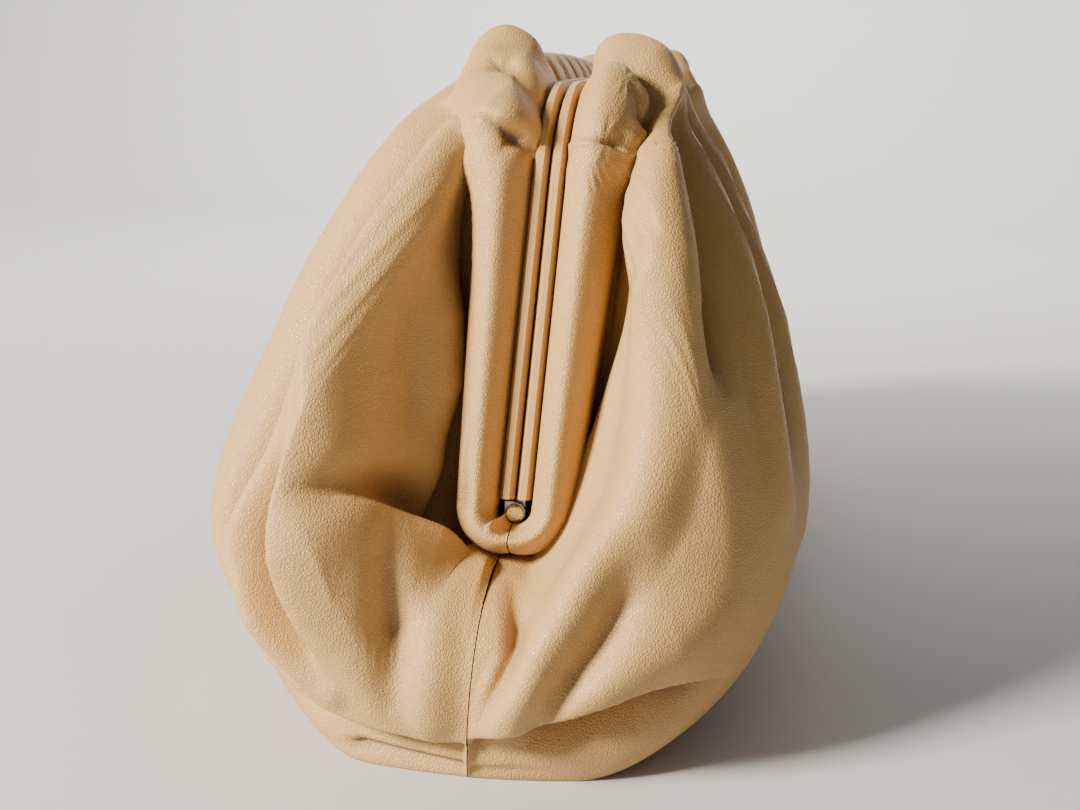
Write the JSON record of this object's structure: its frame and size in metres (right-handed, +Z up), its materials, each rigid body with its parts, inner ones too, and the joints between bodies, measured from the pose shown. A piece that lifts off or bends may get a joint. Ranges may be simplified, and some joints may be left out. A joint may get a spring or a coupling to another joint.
{
  "type": "gathered leather pouch bag",
  "caption": "Soft gathered leather clutch on a leather-covered frame that closes along the top, with round rolls beside the frame and brass rivets at its hinges, standing on its flat base.",
  "frame": {"origin": "the middle of the bag's footprint box, on the surface that it stands on", "axes": "+Y runs along the bag's length, from the end seen in the picture to the far end; +X is to the right in the picture; +Z is up"},
  "size_m": [0.1704, 0.3854, 0.1964],
  "materials": {
    "leather": "soft caramel leather with a fine pebbled grain and a low sheen",
    "frame_leather": "the same leather drawn smooth over the frame bars",
    "steel": "bare stamped steel, slightly dulled",
    "brass": "polished brass rivet head"
  },
  "bodies": {
    "root": {"panel_left": "leather", "panel_right": "leather", "frame_bar_left": "frame_leather", "frame_bar_right": "frame_leather", "hinge_eye_left_near": "steel", "hinge_eye_right_near": "steel", "hinge_pin_near": "brass", "hinge_eye_left_far": "steel", "hinge_eye_right_far": "steel", "hinge_pin_far": "brass"}
  },
  "joints": []
}
